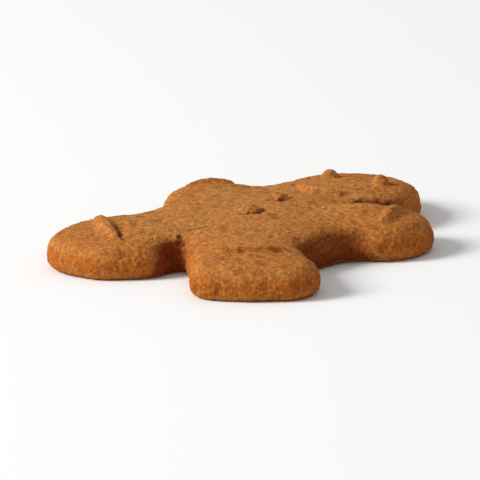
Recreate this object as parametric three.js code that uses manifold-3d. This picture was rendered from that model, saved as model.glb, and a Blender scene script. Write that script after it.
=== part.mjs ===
// A baked gingerbread man biscuit, lying on its flat underside.
// Millimetres. +Z up, +Y towards the head, +X to the right as it is seen from above.
// The origin is the middle of the underside.
import * as THREE from "three";
import { mergeVertices } from "three/addons/utils/BufferGeometryUtils.js";
import Module from "manifold-3d";

const wasm = await Module();
wasm.setup();

// Driving dimensions of the figure, counted from the centre of the head.
const headRadius = 13.75;
const chest = { x: 0, y: -17.4, radius: 12.3 };
const belly = { x: -0.4, y: -28.1, radius: 19.4 };
const rightArm = {
  shoulder: { x: 10.7, y: -19.2, radius: 6.0 },
  hand: { x: 20.1, y: -13.5, radius: 8.7 },
  armpitFillet: 6.5,
  neckFillet: 3.2,
  cuff: { from: [18.8, -7.6], to: [23.6, -18.8], bow: 0, width: 3.0, rise: 1.2 },
};
const leftArm = {
  shoulder: { x: -10.7, y: -19.2, radius: 6.0 },
  hand: { x: -19.9, y: -14.1, radius: 8.5 },
  armpitFillet: 12.0,
  neckFillet: 10.0,
  cuff: { from: [-19.2, -7.1], to: [-25.3, -15.7], bow: -0.6, width: 2.4, rise: 0.95 },
};
const rightLeg = {
  hip: { x: 5.4, y: -39.0, radius: 9.0 },
  foot: { x: 16.2, y: -45.6, radius: 10.0 },
  toes: [{ x: 13.7, y: -51.5, radius: 6.0 }, { x: 23.7, y: -45.8, radius: 6.0 }],
  hipFillet: 5.0,
  cuff: { from: [9.2, -49.9], to: [21.6, -41.0], bow: -0.6, width: 2.4, rise: 1.0 },
};
const leftLeg = {
  hip: { x: -5.4, y: -39.0, radius: 9.0 },
  foot: { x: -16.8, y: -45.6, radius: 11.3 },
  toes: [{ x: -13.0, y: -50.5, radius: 6.5 }, { x: -19.4, y: -49.5, radius: 6.5 }],
  hipFillet: 13.0,
  cuff: { from: [-10.6, -50.7], to: [-23.8, -41.0], bow: 0.6, width: 3.2, rise: 1.4 },
};
const toeFillet = 2.0; // between the round of a foot and its blunt toes
const crotchFillet = 3.0;
const crotchNotch = [{ x: -1.0, y: -45.8, radius: 1.3 }, { x: 2.6, y: -56.5, radius: 5.2 }];
const notchFillet = 3.0;
const middleWidth = 24; // across which the left side's fillets turn into the right side's

// The slab: a flat underside, a bulging side wall, a round shoulder and a domed top.
const slabHeight = 5.4;
const bulgeHeight = 1.8; // where the side wall stands out furthest
const undercut = 1.8; // how far the underside's edge lies inside the bulge
const edgeWidth = 2.9; // from the outline to where the round shoulder ends
const edgeFullness = 2.7; // 2 would make the shoulder a plain quarter ellipse
const domeHeight = 2.7; // the middle above the shoulder
const domeReach = 3.6; // how gradually the dome rises inward from the outline
const domeSpan = 40; // how far from its peak the dome fades towards the head, hands and feet
const domePeak = { x: 0, y: -26 };
const shoulderSwell = { x: 14.0, y: -11.8, reach: 4.5, height: 1.0 }; // beside the notch of the neck

// Raised details: buttons, eyes, a smile, and the cuff across each wrist and ankle.
const buttons = [
  { x: -1.2, y: -17.4, radius: 2.5, height: 1.0 },
  { x: 0.4, y: -27.6, radius: 2.5, height: 1.0 },
];
const eyes = [
  { x: -5.4, y: 2.5, radius: 2.1, height: 1.6 },
  { x: 5.3, y: 3.8, radius: 2.1, height: 1.8 },
];
const smile = { radius: 8.2, halfAngle: 48, width: 2.4, rise: 1.1 };
const ridgeSink = 0.5; // how far a ridge's axis lies below the top

// A crease that runs on inwards from the notch between the right arm and the head.
const neckCrease = { from: [13.2, -5.6], to: [8.4, -8.7], bow: 0.3 };
const creaseWidth = 2.0;
const creaseDepth = 1.5;
const creaseLift = 1.0; // how far the roll that cuts the crease has its axis above the top

// How finely the surfaces are divided.
const facetLength = 1.75;
const facetTolerance = 0.01; // how near each vertex lies to the true surface
const flatTolerance = 0.012; // how far simplifying may move a surface
const domeSides = 14;
const rollSteps = 14;
const rollSides = 8;
const surveyBox = { min: [-34, -64, -3], max: [34, 18, 13] }; // holds the whole figure with room to spare

// Distance from a point to a limb that tapers between two round ends, negative inside.
function limbDistance(x, y, from, to) {
  const length = Math.hypot(to.x - from.x, to.y - from.y);
  const alongX = (to.x - from.x) / length;
  const alongY = (to.y - from.y) / length;
  const along = (x - from.x) * alongX + (y - from.y) * alongY;
  const across = Math.abs((y - from.y) * alongX - (x - from.x) * alongY);
  const taper = (from.radius - to.radius) / length;
  const slope = Math.sqrt(1 - taper * taper);
  const station = along * slope - across * taper;
  if (station < 0) return Math.hypot(along, across) - from.radius;
  if (station > length * slope) return Math.hypot(along - length, across) - to.radius;
  return across * slope + along * taper - from.radius;
}

// The nearer of two shapes, with the corner between them filled to a fillet.
function blend(a, b, fillet) {
  const overlap = Math.max(fillet - Math.abs(a - b), 0) / fillet;
  return Math.min(a, b) - overlap * overlap * fillet * 0.25;
}

// Distance outside the figure's outline, negative inside.
function outlineDistance(x, y) {
  let body = limbDistance(x, y, chest, belly);
  for (const { shoulder, hand, armpitFillet } of [rightArm, leftArm]) {
    body = blend(body, limbDistance(x, y, shoulder, hand), armpitFillet);
  }
  const legs = [rightLeg, leftLeg].map(({ hip, foot, toes }) => {
    const outerSide = blend(limbDistance(x, y, hip, foot), limbDistance(x, y, ...toes), toeFillet);
    return Math.min(outerSide, limbDistance(x, y, hip, toes[0]));
  });
  const rightness = THREE.MathUtils.smoothstep(x, -middleWidth / 2, middleWidth / 2);
  const hipFillet = THREE.MathUtils.lerp(leftLeg.hipFillet, rightLeg.hipFillet, rightness);
  const neckFillet = THREE.MathUtils.lerp(leftArm.neckFillet, rightArm.neckFillet, rightness);
  body = blend(body, blend(...legs, crotchFillet), hipFillet);
  body = -blend(-body, limbDistance(x, y, ...crotchNotch), notchFillet);
  return blend(Math.hypot(x, y) - headRadius, body, neckFillet);
}

// A smooth hill's share of its full height at a place.
function hill(x, y, peak, reach) {
  return Math.exp(-Math.pow(Math.hypot(x - peak.x, y - peak.y) / reach, 2));
}

// How far the dome lifts the top at a place.
function domeRise(x, y) {
  const depth = Math.max(-outlineDistance(x, y), 0);
  const dome = domeHeight * hill(x, y, domePeak, domeSpan) * (1 - Math.exp(-depth / domeReach));
  return dome + shoulderSwell.height * hill(x, y, shoulderSwell, shoulderSwell.reach);
}

// A quarter round from 1 at 0 down to 0 at 1, fuller in its corner than a circle.
function quarterRound(share, fullness) {
  return Math.pow(1 - Math.pow(share, fullness), 1 / fullness);
}

// Height of the top surface at a place on it.
function topHeight(x, y) {
  const crown = slabHeight + domeRise(x, y);
  const inward = Math.min(Math.max(-outlineDistance(x, y), 0) / edgeWidth, 1);
  return bulgeHeight + (crown - bulgeHeight) * quarterRound(1 - inward, edgeFullness);
}

// How far inside the slab a point lies. The wall bulges out and the shoulder above it is round.
function slabDepth([x, y, z]) {
  const crown = slabHeight + domeRise(x, y);
  const isLow = z < bulgeHeight;
  const span = isLow ? bulgeHeight : crown - bulgeHeight;
  const turn = Math.min(Math.abs(z - bulgeHeight) / span, 1);
  const inset = (isLow ? undercut : edgeWidth) * (1 - quarterRound(turn, isLow ? 2 : edgeFullness));
  return Math.min(-outlineDistance(x, y) - inset, crown - z);
}

// The slab, cut flat underneath.
function slabSolid() {
  const skin = wasm.Manifold.levelSet(slabDepth, surveyBox, facetLength, 0, facetTolerance);
  return skin.trimByPlane([0, 0, 1], 0).simplify(flatTolerance);
}

// The faces of the skin through rings of equally many vertices, first ring to last.
function skinFaces(ringCount, count) {
  const faces = [];
  for (let ring = 0; ring + 1 < ringCount; ring++) {
    for (let k = 0; k < count; k++) {
      const low = ring * count + k;
      const lowNext = ring * count + ((k + 1) % count);
      faces.push(low, lowNext, lowNext + count);
      faces.push(low, lowNext + count, low + count);
    }
  }
  return faces;
}

function indexedGeometry(vertices, faces) {
  const geometry = new THREE.BufferGeometry().setFromPoints(vertices);
  geometry.setIndex(faces);
  return geometry;
}

// A low round dome pressed out of the top.
function domeGeometry({ x, y, radius, height }) {
  const rise = height * 2;
  const geometry = new THREE.SphereGeometry(1, domeSides, domeSides / 2 + 1);
  geometry.rotateX(Math.PI / 2);
  geometry.scale(radius, radius, rise);
  geometry.translate(x, y, topHeight(x, y) + height - rise);
  return geometry;
}

// A roll that lies along a path, its axis sunk a little in the top, with rounded ends.
function rollGeometry(pathAt, width, reach, sink) {
  const onAxis = ({ x, y }) => new THREE.Vector3(x, y, topHeight(x, y) - sink);
  const vertices = [];
  for (let i = 1; i < rollSteps; i++) {
    const share = i / rollSteps;
    const middle = onAxis(pathAt(share));
    const ahead = pathAt(share + 0.5 / rollSteps).sub(pathAt(share - 0.5 / rollSteps)).normalize();
    const swell = Math.pow(Math.sin(Math.PI * share), 0.35);
    for (let k = 0; k < rollSides; k++) {
      const turn = ((k + 0.5) / rollSides) * 2 * Math.PI; // the half step gives it a flat crest
      const across = (width / 2) * swell * Math.cos(turn);
      const up = reach * swell * Math.sin(turn);
      vertices.push(middle.clone().add(new THREE.Vector3(-ahead.y * across, ahead.x * across, up)));
    }
  }
  const faces = skinFaces(rollSteps - 1, rollSides);
  const firstPole = vertices.length;
  const lastPole = firstPole + 1;
  vertices.push(onAxis(pathAt(0)), onAxis(pathAt(1)));
  for (let k = 0; k < rollSides; k++) {
    const next = (k + 1) % rollSides;
    const lastRing = firstPole - rollSides;
    faces.push(firstPole, next, k);
    faces.push(lastPole, lastRing + k, lastRing + next);
  }
  return indexedGeometry(vertices, faces);
}

// A bowed line over the top.
function bowedLine({ from, to, bow }) {
  const start = new THREE.Vector2(...from);
  const end = new THREE.Vector2(...to);
  const along = end.clone().sub(start).normalize();
  const across = new THREE.Vector2(-along.y, along.x);
  return (share) =>
    start.clone().lerp(end, share).addScaledVector(across, bow * 4 * share * (1 - share));
}

function smileLine(share) {
  const turn = THREE.MathUtils.degToRad(-90 + (2 * share - 1) * smile.halfAngle);
  return new THREE.Vector2(smile.radius * Math.cos(turn), smile.radius * Math.sin(turn));
}

function solidOf(geometry) {
  geometry.deleteAttribute("normal");
  geometry.deleteAttribute("uv");
  const merged = mergeVertices(geometry, 1e-4);
  return new wasm.Manifold(
    new wasm.Mesh({
      numProp: 3,
      vertProperties: merged.attributes.position.array,
      triVerts: new Uint32Array(merged.index.array),
    }),
  );
}

function biscuitGeometry() {
  let solid = slabSolid();
  const crease = rollGeometry(bowedLine(neckCrease), creaseWidth, creaseDepth + creaseLift, -creaseLift);
  solid = solid.subtract(solidOf(crease));
  for (const bump of [...buttons, ...eyes]) {
    solid = solid.add(solidOf(domeGeometry(bump)));
  }
  const cuffs = [rightArm, leftArm, rightLeg, leftLeg].map(({ cuff }) => cuff);
  const ridges = [{ ...smile, path: smileLine }];
  ridges.push(...cuffs.map((cuff) => ({ ...cuff, path: bowedLine(cuff) })));
  for (const { path, width, rise } of ridges) {
    solid = solid.add(solidOf(rollGeometry(path, width, rise + ridgeSink, ridgeSink)));
  }
  const { vertProperties, triVerts } = solid.getMesh();
  const geometry = new THREE.BufferGeometry();
  geometry.setAttribute("position", new THREE.BufferAttribute(vertProperties, 3));
  geometry.setIndex(new THREE.BufferAttribute(triVerts, 1));
  geometry.computeBoundingBox();
  const middle = geometry.boundingBox.getCenter(new THREE.Vector3());
  geometry.translate(-middle.x, -middle.y, 0);
  geometry.computeVertexNormals();
  return geometry;
}

const bakedDough = new THREE.MeshStandardMaterial({
  name: "baked_dough",
  color: new THREE.Color(0.42, 0.17, 0.045),
  roughness: 0.85,
  metalness: 0,
});

const biscuit = new THREE.Mesh(biscuitGeometry(), bakedDough);
biscuit.name = "gingerbread_man";

const figure = new THREE.Group();
figure.add(biscuit);

export default figure;
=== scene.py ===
import math

import bmesh
import bpy
import numpy as np
from mathutils import Matrix, Vector, noise


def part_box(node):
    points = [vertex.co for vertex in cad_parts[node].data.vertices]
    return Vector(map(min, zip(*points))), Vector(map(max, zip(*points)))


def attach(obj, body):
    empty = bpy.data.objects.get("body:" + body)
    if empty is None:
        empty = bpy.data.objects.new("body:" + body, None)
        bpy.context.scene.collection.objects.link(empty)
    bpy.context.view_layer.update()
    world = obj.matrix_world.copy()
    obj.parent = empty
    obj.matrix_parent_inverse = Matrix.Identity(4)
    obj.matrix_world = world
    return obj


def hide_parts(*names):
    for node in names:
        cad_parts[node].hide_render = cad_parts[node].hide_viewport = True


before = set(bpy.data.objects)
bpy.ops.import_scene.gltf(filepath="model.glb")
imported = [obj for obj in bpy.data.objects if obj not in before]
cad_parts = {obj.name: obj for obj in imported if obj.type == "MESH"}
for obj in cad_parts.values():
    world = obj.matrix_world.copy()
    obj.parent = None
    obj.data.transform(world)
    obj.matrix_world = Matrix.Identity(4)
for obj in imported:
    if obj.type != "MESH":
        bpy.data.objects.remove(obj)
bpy.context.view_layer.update()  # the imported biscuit, one body called root

mm = 0.001
doughNode = "gingerbread_man"
doughLow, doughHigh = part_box(doughNode)
headRadius = 13.75  # everything on the figure is placed in mm from the middle of the head
footReach = 29.68  # from the head's middle to the side of the right foot
headX, headY = doughHigh.x / mm - footReach, doughHigh.y / mm - headRadius


def onFigure(places):
    # figure places (mm, right and up from the head's centre) to the frame's own mm
    return np.array([(x + headX, y + headY, *height) for x, y, *height in places], float)


def smoothRamp(low, high, value):
    share = np.clip((value - low) / (high - low), 0, 1)
    return share * share * (3 - 2 * share)


def placed(name, data):
    obj = bpy.data.objects.new(name, data)
    bpy.context.scene.collection.objects.link(obj)
    return obj


def outwards(turn, rise):
    # the direction out from the biscuit, in degrees round from the feet end and up
    turn, rise = math.radians(turn), math.radians(rise)
    return Vector((math.sin(turn) * math.cos(rise), -math.cos(turn) * math.cos(rise), math.sin(rise)))


def shadedMaterial(name):
    material = bpy.data.materials.new(name)
    material.use_nodes = True
    return material, material.node_tree.nodes["Principled BSDF"]


# camera

cameraLook = {
    "azimuth": 40.2,  # degrees round from the feet end
    "elevation": 14.5,
    "roll": -2.4,
    "distance": 1.37,
    "frameWidth": 0.0862,  # metres across the picture at the biscuit
    "target": (-0.00534, -0.00256, 0.0012),
    "clip": (0.05, 20),
}


def makeCamera():
    look = cameraLook
    data = bpy.data.cameras.new("camera")
    camera = placed("camera", data)
    back = outwards(look["azimuth"], look["elevation"])
    aim = (-back).to_track_quat("-Z", "Y").to_matrix().to_4x4()
    spin = Matrix.Rotation(math.radians(look["roll"]), 4, "Z")
    camera.matrix_world = Matrix.Translation(Vector(look["target"]) + back * look["distance"]) @ aim @ spin
    data.lens = data.sensor_width * look["distance"] / look["frameWidth"]
    data.clip_start, data.clip_end = look["clip"]
    bpy.context.scene.camera = camera
    print("camera: lens", round(data.lens), "mm")


makeCamera()


# the biscuit: the CAD solid with its crumb, pores, cracks and browning, and painted shade on its side
# walls, in its hollows and in its cracks, with sizes and depths in mm

biscuitLook = {
    "voxel": 0.25,  # how fine the mesh and the modelled crumb are
    "softenRounds": 4,  # rounds off the facets and the pressed ridges
    "softenShare": 0.5,
    "flatMargin": 0.8,  # fine faces kept round the edge of the underside
    "flatSlope": 0.9,  # how squarely a face of the flat underside points down
    "topSlope": (0.35, 0.85),  # how far up a face points, from side wall to top
    "underSlope": (0.55, 0.95),  # how far down, from side wall to underside
    "seed": 11.7,
    "octaveFall": 0.9,  # how fast the finer layers of a noise fade
    "octaveStep": 2.1,  # how much finer each layer is than the last
    "swellSize": 9.0,  # broad unevenness of the baked dough
    "swellDepth": 0.15,
    "lumpSize": 3.2,
    "lumpDepth": 0.08,
    "grainSize": 0.85,
    "grainDepth": 0.10,
    "wallGrain": 1.3,  # how much rougher the side wall is than the top
    "skirtSize": 1.5,  # the ragged foot where the dough met the tray
    "skirtHeight": 1.1,
    "skirtDepth": 0.28,
    "poreSpacing": 2.1,
    "poreShuffle": 37.3,
    "poreShare": 0.15,  # how many of the cells hold a pore
    "poreRadius": (0.22, 0.50),
    "poreDepth": 0.22,
    "buttonRadius": 2.5,
    "buttonCrumble": (1.15, 0.7),  # radii over which a button's broken crumb sets in
    "cuffCrumble": (1.6, 0.9),  # the same for a cuff, from its middle line
    "cuffCrumbleShare": 0.15,
    "crumbleSize": 0.95,
    "crumbleDepth": 0.34,
    "crumbleLoss": 0.25,  # more crumb is lost than stands up
    "crackWanderSize": 1.4,
    "crackWander": 0.55,
    "crackBreakSize": 1.6,
    "crackBreak": (-0.55, -0.05),  # leaves gaps along each crack
    "crackBottom": 0.7,  # under 1 makes the bottom of a crack rounder
    "crackHeights": (3.0, 4.2),  # cracks without a height of their own fade out below this
    "rimWidth": 0.50,  # the crack round one side of each button
    "rimDepth": 0.45,
    "rimSide": (0.9, 0.35),
    "rimShare": (-0.7, 0.4),
    "crackShade": 0.30,  # a crack this deep gets the darkest painted shade
    "poreShade": 0.5,
    "planCell": 0.5,
    "planReach": 6.0,  # how far round a place its dough is counted
    "toastAndShadeSlope": (0.80, 0.10),  # the side wall browned more than the top, with painted shade mixed in
    "toastAndShadeFoot": 0.50,
    "toastAndShadeRise": 0.35,
    "toastAndShadeHeights": (0.4, 3.2),
    "toastAndShadeBulge": 0.2,
    "bulgeShare": (0.50, 0.38),  # from a straight wall to one that bulges out
    "toastTip": 0.35,
    "tipShare": (0.98, 0.75),  # from the middle to the browner head, hands and feet
    "ankleLineDark": 0.75,
    "lineWidth": (0.75, 0.25),
    "lineWander": 0.4,
    "lineWanderSize": 2.0,
    "toastPatch": 0.5,  # browned spots on the broken crumb
    "patchSize": 1.3,
    "patchShare": (-0.3, 0.4),
    "nookShare": (0.525, 0.655),  # painted shade, from an open wall to a hollow of the outline
    "nookLean": 0.025,  # how much wider the painted shade of a hollow reaches towards its foot, for each mm
    "nookMiddle": 3.0,  # the height where that makes no difference
    "nookSlope": (0.98, 0.55),
    "nookHeights": (6.9, 5.6),  # keeps the painted shade of the hollows off the pressed marks
    "shadeSide": (1.0, -0.1),  # hollows that face this way get the most painted shade
    "shadeSideShare": (-0.2, 0.4),
    "shadeSideLeast": 0.3,
}
noiseShift = {  # keeps the layers of noise apart
    "swell": 0.0,
    "lump": 2.2,
    "grain": 4.6,
    "crumble": 9.3,
    "skirt": 6.5,
    "break": 5.9,
    "patch": 7.7,
    "crackWander": (3.1, 8.4, 13.6),
    "lineWander": (4.2, 9.9),
}

buttonPlaces = [(-1.2, -17.4), (0.4, -27.6)]
cuffRoutes = [
    [(18.8, -7.6), (23.6, -18.8)],
    [(9.2, -49.9), (15.0, -46.2), (21.6, -41.0)],
    [(-10.6, -50.7), (-17.6, -45.4), (-23.8, -41.0)],
    [(-19.2, -7.1), (-25.3, -15.7)],
]
ankleLine = [(7.2, -49.2), (13.2, -48.5), (17.2, -46.0), (20.5, -42.8), (22.4, -40.6)]
crackRoutes = [  # places, half width, depth; those with a height run down the side wall
    ([(-1.9, -44.2, 5.0), (-2.7, -43.2, 6.2), (-2.9, -41.7, 6.8), (-2.4, -40.2, 7.2)], 0.55, 0.55),
    ([(-2.4, -40.2), (-0.9, -39.2), (0.1, -37.2)], 0.40, 0.30),
    ([(-1.9, -44.4, 4.0), (-2.4, -45.5, 3.4), (-2.6, -47.4, 3.2), (-2.8, -49.2, 2.8)], 0.55, 0.50),
    (ankleLine, 0.45, 0.08),
    ([(-9.0, -51.4), (-12.6, -48.2), (-15.9, -45.5)], 0.45, 0.42),
    ([(8.6, -7.8, 6.4), (10.0, -6.4, 6.0), (11.6, -4.1, 5.4), (12.3, -2.8, 5.0)], 1.0, 0.65),
    ([(-7.4, -5.2), (-6.3, -6.2)], 0.42, 0.42),
    ([(3.0, -2.0), (5.0, -2.4)], 0.42, 0.36),
]


def noiseAt(points, size, octaves, shift):
    # smooth noise between about -1 and 1 over points in mm
    look = biscuitLook
    scaled = points / size + (look["seed"] + shift)
    if octaves == 1:
        return np.array([noise.noise(Vector(p)) for p in scaled])
    fall, step = look["octaveFall"], look["octaveStep"]
    return np.array([noise.fractal(Vector(p), fall, step, octaves) for p in scaled])


def wanderAt(points, name):
    # a sideways drift that makes lines uneven, one noise for each direction
    look = biscuitLook
    drifts = [noiseAt(points, look[name + "Size"], 2, shift) for shift in noiseShift[name]]
    return look[name] * np.stack(drifts, axis=1)


def routeDistance(places, route):
    # how far each place lies from a route of straight stretches
    nearest = np.full(len(places), np.inf)
    for start, end in zip(route[:-1], route[1:]):
        along = end - start
        share = np.clip(((places - start) @ along) / (along @ along), 0, 1)
        gap = np.linalg.norm(places - start - share[:, None] * along, axis=1)
        nearest = np.minimum(nearest, gap)
    return nearest


def cracksAt(points):
    # depth of the cracks at each point
    look = biscuitLook
    top = smoothRamp(*look["crackHeights"], points[:, 2])
    places = points + wanderAt(points, "crackWander")
    lengthwise = noiseAt(points, look["crackBreakSize"], 1, noiseShift["break"])
    broken = smoothRamp(*look["crackBreak"], lengthwise)

    def grooveOf(gap, halfWidth):
        return np.clip(1 - gap / halfWidth, 0, 1) ** look["crackBottom"]

    depth = np.zeros(len(points))
    for route, halfWidth, deepest in crackRoutes:
        route = onFigure(route)
        across = route.shape[1]
        groove = grooveOf(routeDistance(places[:, :across], route), halfWidth)
        held = top if across == 2 else 1
        depth = np.maximum(depth, deepest * broken * held * groove)
    radius = look["buttonRadius"]
    for centre in onFigure(buttonPlaces):
        offset = places[:, :2] - centre
        groove = grooveOf(np.abs(np.linalg.norm(offset, axis=1) - radius), look["rimWidth"])
        oneSide = smoothRamp(*look["rimShare"], (offset @ np.array(look["rimSide"])) / radius)
        depth = np.maximum(depth, look["rimDepth"] * broken * top * oneSide * groove)
    return depth


def poresAt(points):
    # depth of the small round pores, at most one in each cell
    look = biscuitLook
    depth = np.zeros(len(points))
    smallest, largest = look["poreRadius"]
    for k, p in enumerate(points / look["poreSpacing"] + look["seed"]):
        gaps, centres = noise.voronoi(Vector(p))
        luck = noise.cell(centres[0] * look["poreShuffle"])
        if luck < look["poreShare"]:
            radius = smallest + (largest - smallest) * luck / look["poreShare"]
            gap = gaps[0] * look["poreSpacing"]
            depth[k] = look["poreDepth"] * max(0.0, 1 - (gap / radius) ** 2)
    return depth


def crumbledAt(points):
    # where the crumb is broken, on the buttons and a little on the cuffs, from 0 to 1
    look = biscuitLook
    crumbled = np.zeros(len(points))
    for centre in onFigure(buttonPlaces):
        gap = np.linalg.norm(points[:, :2] - centre, axis=1) / look["buttonRadius"]
        crumbled = np.maximum(crumbled, smoothRamp(*look["buttonCrumble"], gap))
    for route in cuffRoutes:
        gap = routeDistance(points[:, :2], onFigure(route))
        crumbled = np.maximum(crumbled, look["cuffCrumbleShare"] * smoothRamp(*look["cuffCrumble"], gap))
    return crumbled


def crumbAt(points, wall, crumbled):
    # height of the swelling, lumps, grain, ragged foot and broken crumb
    look = biscuitLook

    def layer(name, octaves):
        return noiseAt(points, look[name + "Size"], octaves, noiseShift[name])

    swell = look["swellDepth"] * layer("swell", 1)
    lumps = look["lumpDepth"] * layer("lump", 2)
    grain = look["grainDepth"] * layer("grain", 3) * (1 + (look["wallGrain"] - 1) * wall)
    skirt = look["skirtDepth"] * layer("skirt", 2) * np.exp(-points[:, 2] / look["skirtHeight"])
    crumble = look["crumbleDepth"] * (layer("crumble", 2) - look["crumbleLoss"])
    return swell + lumps + grain + skirt * wall + crumble * crumbled


def doughRound(points):
    # the share of dough within reach of each place in plan: half on a straight wall, more in a hollow
    look = biscuitLook
    cell, reach = look["planCell"], look["planReach"]
    span = round(3 * reach / cell)  # cells of empty plan kept all round
    spots = ((points[:, :2] - points[:, :2].min(axis=0)) / cell).astype(int) + span
    plan = np.zeros(spots.max(axis=0) + span)
    plan[spots[:, 0], spots[:, 1]] = 1
    bell = np.exp(-0.5 * (np.arange(-span, span + 1) * cell / reach) ** 2)
    bell /= bell.sum()
    for axis in (0, 1):
        plan = np.apply_along_axis(np.convolve, axis, plan, bell, "same")
    return plan[spots[:, 0], spots[:, 1]]


def toastAndShadeAt(points, normals, dough, crumbled):
    # how browned and shaded each place is: browning mixed with painted shade on the side walls and bulges,
    # browner tips, a darker line along the right ankle and browned spots on the broken crumb
    look = biscuitLook
    wallToastAndShade = look["toastAndShadeFoot"] + look["toastAndShadeRise"] * smoothRamp(*look["toastAndShadeHeights"], points[:, 2])
    wallToastAndShade += look["toastAndShadeBulge"] * smoothRamp(*look["bulgeShare"], dough)
    toastAndShade = smoothRamp(*look["toastAndShadeSlope"], normals[:, 2]) * wallToastAndShade
    toastAndShade = np.maximum(toastAndShade, look["toastTip"] * smoothRamp(*look["tipShare"], dough))
    # a darker line along the right ankle
    gap = routeDistance(points[:, :2] + wanderAt(points, "lineWander"), onFigure(ankleLine))
    toastAndShade = np.maximum(toastAndShade, look["ankleLineDark"] * smoothRamp(*look["lineWidth"], gap))
    patches = smoothRamp(*look["patchShare"], noiseAt(points, look["patchSize"], 1, noiseShift["patch"]))
    return np.maximum(toastAndShade, look["toastPatch"] * crumbled * patches)


def nookShadeAt(points, normals, dough):
    # painted shade in the hollows between the limbs, most on walls that face the shaded side
    look = biscuitLook
    height = points[:, 2]
    nookShade = smoothRamp(*look["nookShare"], dough + look["nookLean"] * (look["nookMiddle"] - height))
    nookShade *= smoothRamp(*look["nookSlope"], normals[:, 2])
    nookShade *= smoothRamp(*look["nookHeights"], height)
    facing = smoothRamp(*look["shadeSideShare"], normals[:, :2] @ np.array(look["shadeSide"]))
    return nookShade * (look["shadeSideLeast"] + (1 - look["shadeSideLeast"]) * facing)


def doughMesh():
    # the CAD solid remeshed finely, with its facets rounded off
    look = biscuitLook
    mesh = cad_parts[doughNode].data.copy()
    work = bmesh.new()
    work.from_mesh(mesh)
    bmesh.ops.remove_doubles(work, verts=work.verts, dist=0.001 * mm)
    work.to_mesh(mesh)
    work.free()
    draft = placed("draft", mesh)
    remesh = draft.modifiers.new("fine", "REMESH")
    remesh.mode = "VOXEL"
    remesh.voxel_size = look["voxel"] * mm
    soften = draft.modifiers.new("soften", "SMOOTH")
    soften.factor = look["softenShare"]
    soften.iterations = look["softenRounds"]
    graph = bpy.context.evaluated_depsgraph_get()
    fine = bpy.data.meshes.new_from_object(draft.evaluated_get(graph))
    fine.name = "biscuit"
    fine.materials.clear()
    bpy.data.objects.remove(draft)
    return fine


def thinUnderside(mesh):
    # the hidden flat underside needs few faces away from its edge
    look = biscuitLook
    work = bmesh.new()
    work.from_mesh(mesh)
    work.normal_update()
    flatHeight = doughLow.z + 0.5 * look["voxel"] * mm
    flat = [v for v in work.verts if v.co.z < flatHeight and v.normal.z < -look["flatSlope"]]
    inner = set(flat)
    for _ in range(round(look["flatMargin"] / look["voxel"])):
        inner = {v for v in inner if all(e.other_vert(v) in inner for e in v.link_edges)}
    faces = [f for f in work.faces if all(v in inner for v in f.verts)]
    for v in flat:
        v.co.z = doughLow.z
    bmesh.ops.dissolve_faces(work, faces=faces, use_verts=True)
    bmesh.ops.triangulate(work, faces=[f for f in work.faces if len(f.verts) > 4])
    work.to_mesh(mesh)
    work.free()


def meshArray(items, name, width=3):
    values = np.empty(len(items) * width, np.float32)
    items.foreach_get(name, values)
    return values.reshape(-1, width).astype(float) if width > 1 else values.astype(float)


def makeBiscuit():
    look = biscuitLook
    mesh = doughMesh()
    thinUnderside(mesh)
    points = meshArray(mesh.vertices, "co") / mm
    normals = meshArray(mesh.vertex_normals, "vector")
    top = smoothRamp(*look["topSlope"], normals[:, 2])
    under = smoothRamp(*look["underSlope"], -normals[:, 2])
    wall = (1 - top) * (1 - under)
    print("biscuit:", len(points), "vertices before relief")

    crumbled = crumbledAt(points) * top
    cracks = cracksAt(points)
    pores = poresAt(points) * (1 - under)
    relief = crumbAt(points, wall, crumbled) * (1 - under) - cracks - pores
    moved = points + normals * relief[:, None]
    moved = np.clip(moved, np.array(doughLow) / mm, np.array(doughHigh) / mm)
    mesh.vertices.foreach_set("co", (moved * mm).astype(np.float32).ravel())
    mesh.polygons.foreach_set("use_smooth", np.ones(len(mesh.polygons), bool))
    print("biscuit: relief worked out")

    dough = doughRound(points)
    # painted shade in the cracks and pores, darker the deeper they are
    hollow = np.maximum(cracks / look["crackShade"], look["poreShade"] * pores / look["poreDepth"])
    shades = {
        "hollow": np.clip(hollow, 0, 1),
        "toastAndShade": toastAndShadeAt(points, normals, dough, crumbled),
        "nookShade": nookShadeAt(points, normals, dough) * (1 - under),
    }
    for name, values in shades.items():
        layer = mesh.attributes.new(name, "FLOAT", "POINT")
        layer.data.foreach_set("value", values.astype(np.float32))
    mesh.update()
    mesh.validate()
    biscuit = placed("biscuit", mesh)
    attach(biscuit, "root")
    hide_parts(doughNode)
    print("biscuit: browned,", sum(len(p.vertices) - 2 for p in mesh.polygons), "triangles")
    return biscuit


biscuit = makeBiscuit()


# finish of the baked dough

doughLook = {  # sizes in mm; each share is a stretch of the noise, each most the strength it reaches
    "gloss": 0.08,
    "bumpStrength": 0.8,
    "bumpDistance": 0.10,
    "group": {
        "Top Colour": (0.42, 0.175, 0.044, 1),
        "Toasted And Shaded Colour": (0.345, 0.098, 0.013, 1),
        "Nook Shade Colour": (0.172, 0.031, 0.005, 1),
        "Fleck And Hollow Shade Colour": (0.16, 0.040, 0.010, 1),
        "Grain": 0.58,
    },
    "layers": {"Toast And Shade": "toastAndShade", "Nook Shade": "nookShade", "Hollow Shade": "hollow"},
    "broadSize": 7.5,
    "broadShare": (0.42, 0.72),
    "broadMost": 0.30,
    "patchSize": 2.2,
    "patchShare": (0.52, 0.78),
    "patchMost": 0.35,
    "sandSize": 0.8,
    "fineSize": 0.34,
    "grainShare": (0.38, 0.62),
    "paleGrain": (1.34, 1.38, 1.40, 1),
    "darkGrain": (0.68, 0.60, 0.50, 1),
    "fleckSize": 0.9,
    "fleckShare": (0.66, 0.74),
    "fleckMost": 0.5,
    "hollowShare": (0.05, 0.85),
    "hollowMost": 0.85,
    "roughShare": (0.3, 0.7),
    "roughness": (0.78, 0.95),
}


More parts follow.
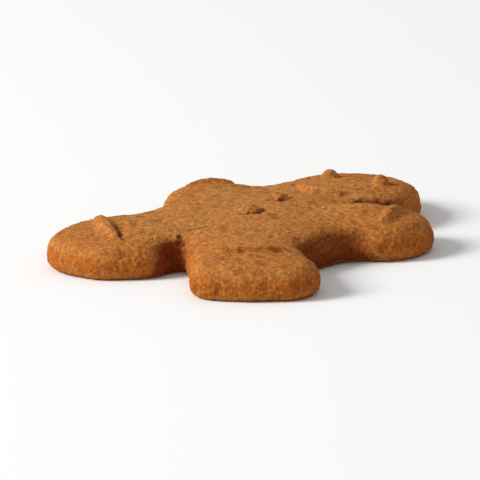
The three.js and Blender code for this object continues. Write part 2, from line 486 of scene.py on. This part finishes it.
def addNode(tree, kind, **values):
    node = tree.nodes.new(kind)
    for name, value in values.items():
        if name in node.inputs:
            node.inputs[name].default_value = value
        else:
            setattr(node, name, value)
    return node


def mixColours(tree, share, first, second, blend="MIX"):
    mix = addNode(tree, "ShaderNodeMix", data_type="RGBA", blend_type=blend)
    for socket, value in ((mix.inputs[0], share), (mix.inputs[6], first), (mix.inputs[7], second)):
        if isinstance(value, bpy.types.NodeSocket):
            tree.links.new(value, socket)
        else:
            socket.default_value = value
    return mix.outputs[2]


def rampOf(tree, value, low, high, least=0.0, most=1.0):
    node = addNode(tree, "ShaderNodeMapRange", clamp=True)
    tree.links.new(value, node.inputs["Value"])
    node.inputs["From Min"].default_value = low
    node.inputs["From Max"].default_value = high
    node.inputs["To Min"].default_value = least
    node.inputs["To Max"].default_value = most
    return node.outputs["Result"]


def noiseOf(tree, size, detail=2.0, roughness=0.5):
    # noise fixed to the piece, with marks of about this size in mm
    place = tree.nodes.get("Texture Coordinate") or tree.nodes.new("ShaderNodeTexCoord")
    node = addNode(tree, "ShaderNodeTexNoise", Scale=1 / (size * mm), Detail=detail, Roughness=roughness)
    tree.links.new(place.outputs["Object"], node.inputs["Vector"])
    return node.outputs["Fac"]


def bakedCrumbGroup():
    # colour, roughness and height of baked dough, with browning, mottling, sandy grain and dark flecks,
    # and painted shade on the side walls, in the hollows and in the cracks
    look = doughLook
    tree = bpy.data.node_groups.new("bakedCrumb", "ShaderNodeTree")
    for name in ("Top Colour", "Toasted And Shaded Colour", "Nook Shade Colour", "Fleck And Hollow Shade Colour"):
        tree.interface.new_socket(name, in_out="INPUT", socket_type="NodeSocketColor")
    for name in ("Toast And Shade", "Nook Shade", "Hollow Shade", "Grain"):
        tree.interface.new_socket(name, in_out="INPUT", socket_type="NodeSocketFloat")
    tree.interface.new_socket("Colour", in_out="OUTPUT", socket_type="NodeSocketColor")
    for name in ("Roughness", "Height"):
        tree.interface.new_socket(name, in_out="OUTPUT", socket_type="NodeSocketFloat")
    given = tree.nodes.new("NodeGroupInput").outputs
    result = tree.nodes.new("NodeGroupOutput").inputs

    broad, patch = noiseOf(tree, look["broadSize"], 3.0), noiseOf(tree, look["patchSize"], 3.0)
    sand = noiseOf(tree, look["sandSize"], 2.0, 0.6)
    fine = noiseOf(tree, look["fineSize"], 2.0, 0.6)
    fleck = noiseOf(tree, look["fleckSize"], 1.0)

    def marked(base, values, name, colour):
        # the base with this colour over it where the values are high
        strength = rampOf(tree, values, *look[name + "Share"], 0.0, look[name + "Most"])
        return mixColours(tree, strength, base, colour)

    # browning mixed with painted shade on the side walls
    base = mixColours(tree, given["Toast And Shade"], given["Top Colour"], given["Toasted And Shaded Colour"])
    base = marked(base, broad, "broad", given["Toasted And Shaded Colour"])
    base = marked(base, patch, "patch", given["Toasted And Shaded Colour"])
    # painted shade in the hollows between the limbs
    base = mixColours(tree, given["Nook Shade"], base, given["Nook Shade Colour"])
    for grains in (sand, fine):
        pale = mixColours(tree, 1.0, base, look["paleGrain"], "MULTIPLY")
        dark = mixColours(tree, 1.0, base, look["darkGrain"], "MULTIPLY")
        grained = mixColours(tree, rampOf(tree, grains, *look["grainShare"]), dark, pale)
        base = mixColours(tree, given["Grain"], base, grained)
    # dark flecks in the dough, then painted shade in the cracks and pores
    base = marked(base, fleck, "fleck", given["Fleck And Hollow Shade Colour"])
    base = marked(base, given["Hollow Shade"], "hollow", given["Fleck And Hollow Shade Colour"])
    tree.links.new(base, result["Colour"])
    tree.links.new(rampOf(tree, sand, *look["roughShare"], *look["roughness"]), result["Roughness"])
    tree.links.new(fine, result["Height"])
    return tree


def bakedDough():
    look = doughLook
    material, shader = shadedMaterial("bakedDough")
    tree = material.node_tree
    shader.inputs["Specular IOR Level"].default_value = look["gloss"]
    crumb = tree.nodes.new("ShaderNodeGroup")
    crumb.node_tree = bakedCrumbGroup()
    for socket, value in look["group"].items():
        crumb.inputs[socket].default_value = value
    for socket, layer in look["layers"].items():
        stored = addNode(tree, "ShaderNodeAttribute", attribute_name=layer)
        tree.links.new(stored.outputs["Fac"], crumb.inputs[socket])
    distance = look["bumpDistance"] * mm
    bump = addNode(tree, "ShaderNodeBump", Strength=look["bumpStrength"], Distance=distance)
    tree.links.new(crumb.outputs["Height"], bump.inputs["Height"])
    tree.links.new(crumb.outputs["Colour"], shader.inputs["Base Color"])
    tree.links.new(crumb.outputs["Roughness"], shader.inputs["Roughness"])
    tree.links.new(bump.outputs["Normal"], shader.inputs["Normal"])
    print("finish: baked dough")
    return material


biscuit.data.materials.append(bakedDough())


# grains of sugar baked into the surface

sugarLook = {
    "count": 18,
    "seed": 5,
    "size": (0.16, 0.34),  # mm along a crystal's side
    "stretch": (0.7, 1.25),
    "chip": 0.05,  # how far a corner strays, of the crystal's side
    "sink": 0.35,
    "edgeGap": 0.5,  # mm kept clear inside the figure's box
    "lowest": 0.8,  # mm above the floor
    "overhang": -0.1,  # none sits on a face that points further down
    "roughness": 0.35,
    "gloss": 0.4,
    "clear": (0.66, 0.44, 0.23, 1),
    "amber": (0.54, 0.28, 0.10, 1),
    "cloudSize": 0.8,
    "cloudShare": (0.4, 0.62),
}


def sugarPlaces(chooser):
    # places on the biscuit picked by area, with their normals
    look = sugarLook
    faces = biscuit.data.polygons
    centres, normals = meshArray(faces, "center"), meshArray(faces, "normal")
    low, high = (np.array(corner[:2]) / mm for corner in (doughLow, doughHigh))
    flat, height = centres[:, :2] / mm, centres[:, 2] / mm
    inside = np.all((flat > low + look["edgeGap"]) & (flat < high - look["edgeGap"]), axis=1)
    weight = meshArray(faces, "area", 1) * inside
    weight *= (height > look["lowest"]) * (normals[:, 2] > look["overhang"])
    picked = chooser.choice(len(weight), look["count"], replace=False, p=weight / weight.sum())
    return centres[picked], normals[picked]


def randomTurn(chooser):
    axis = Vector(chooser.normal(size=3)).normalized()
    return np.array(Matrix.Rotation(chooser.uniform(0, math.tau), 3, axis))


def sugarMesh():
    # one mesh of small chipped cubes, each a closed shape of its own
    look = sugarLook
    chooser = np.random.default_rng(look["seed"])
    cube = np.array([(x, y, z) for x in (-0.5, 0.5) for y in (-0.5, 0.5) for z in (-0.5, 0.5)])
    cubeFaces = [(0, 1, 3, 2), (4, 6, 7, 5), (0, 4, 5, 1), (2, 3, 7, 6), (0, 2, 6, 4), (1, 5, 7, 3)]
    points, faces = [], []
    for place, normal in zip(*sugarPlaces(chooser)):
        size = chooser.uniform(*look["size"]) * mm
        stretch = chooser.uniform(*look["stretch"], 3)
        chipped = cube * stretch + chooser.normal(0, look["chip"], cube.shape)
        crystal = chipped @ randomTurn(chooser).T
        faces += [[len(points) + corner for corner in face] for face in cubeFaces]
        points += list(place + normal * size * (0.5 - look["sink"]) + crystal * size)
    mesh = bpy.data.meshes.new("sugarGrains")
    mesh.from_pydata(points, [], faces)
    mesh.update()
    return mesh


def makeSugar():
    look = sugarLook
    sugar = placed("sugarGrains", sugarMesh())
    material, shader = shadedMaterial("bakedSugar")
    tree = material.node_tree
    shader.inputs["Roughness"].default_value = look["roughness"]
    shader.inputs["Specular IOR Level"].default_value = look["gloss"]
    cloud = rampOf(tree, noiseOf(tree, look["cloudSize"], 1.0), *look["cloudShare"])
    tree.links.new(mixColours(tree, cloud, look["clear"], look["amber"]), shader.inputs["Base Color"])
    sugar.data.materials.append(material)
    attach(sugar, "root")
    print("sugar:", look["count"], "grains")


makeSugar()


# floor and light

stageLook = {
    "floorSize": 8.0,
    "floorColour": (0.86, 0.86, 0.855, 1),
    "floorRoughness": 0.9,
    "floorGloss": 0.1,
    "worldColour": (1.0, 1.0, 1.0, 1),
    "worldStrength": 0.50,
    "keyTurn": -44.0,  # degrees round from the feet end, as for the camera
    "keyRise": 32.0,
    "keyDistance": 1.6,
    "keySize": 0.60,
    "keyPower": 30.5,
}


def makeFloor():
    look = stageLook
    half = look["floorSize"] / 2
    corners = [(-half, -half, 0), (half, -half, 0), (half, half, 0), (-half, half, 0)]
    mesh = bpy.data.meshes.new("floor")
    mesh.from_pydata(corners, [], [(0, 1, 2, 3)])
    floor = placed("floor", mesh)
    material, shader = shadedMaterial("paleFloor")
    shader.inputs["Base Color"].default_value = look["floorColour"]
    shader.inputs["Roughness"].default_value = look["floorRoughness"]
    shader.inputs["Specular IOR Level"].default_value = look["floorGloss"]
    mesh.materials.append(material)


def makeLight():
    look = stageLook
    world = bpy.data.worlds.new("studio")
    world.use_nodes = True
    backdrop = world.node_tree.nodes["Background"]
    backdrop.inputs["Color"].default_value = look["worldColour"]
    backdrop.inputs["Strength"].default_value = look["worldStrength"]
    bpy.context.scene.world = world
    data = bpy.data.lights.new("key", "AREA")
    data.shape = "SQUARE"
    data.size = look["keySize"]
    data.energy = look["keyPower"]
    key = placed("key", data)
    back = outwards(look["keyTurn"], look["keyRise"])
    key.location = back * look["keyDistance"]
    key.rotation_euler = (-back).to_track_quat("-Z", "Y").to_euler()
    bpy.context.scene.view_settings.view_transform = "Standard"


makeFloor()
makeLight()
print("stage: floor and key light")
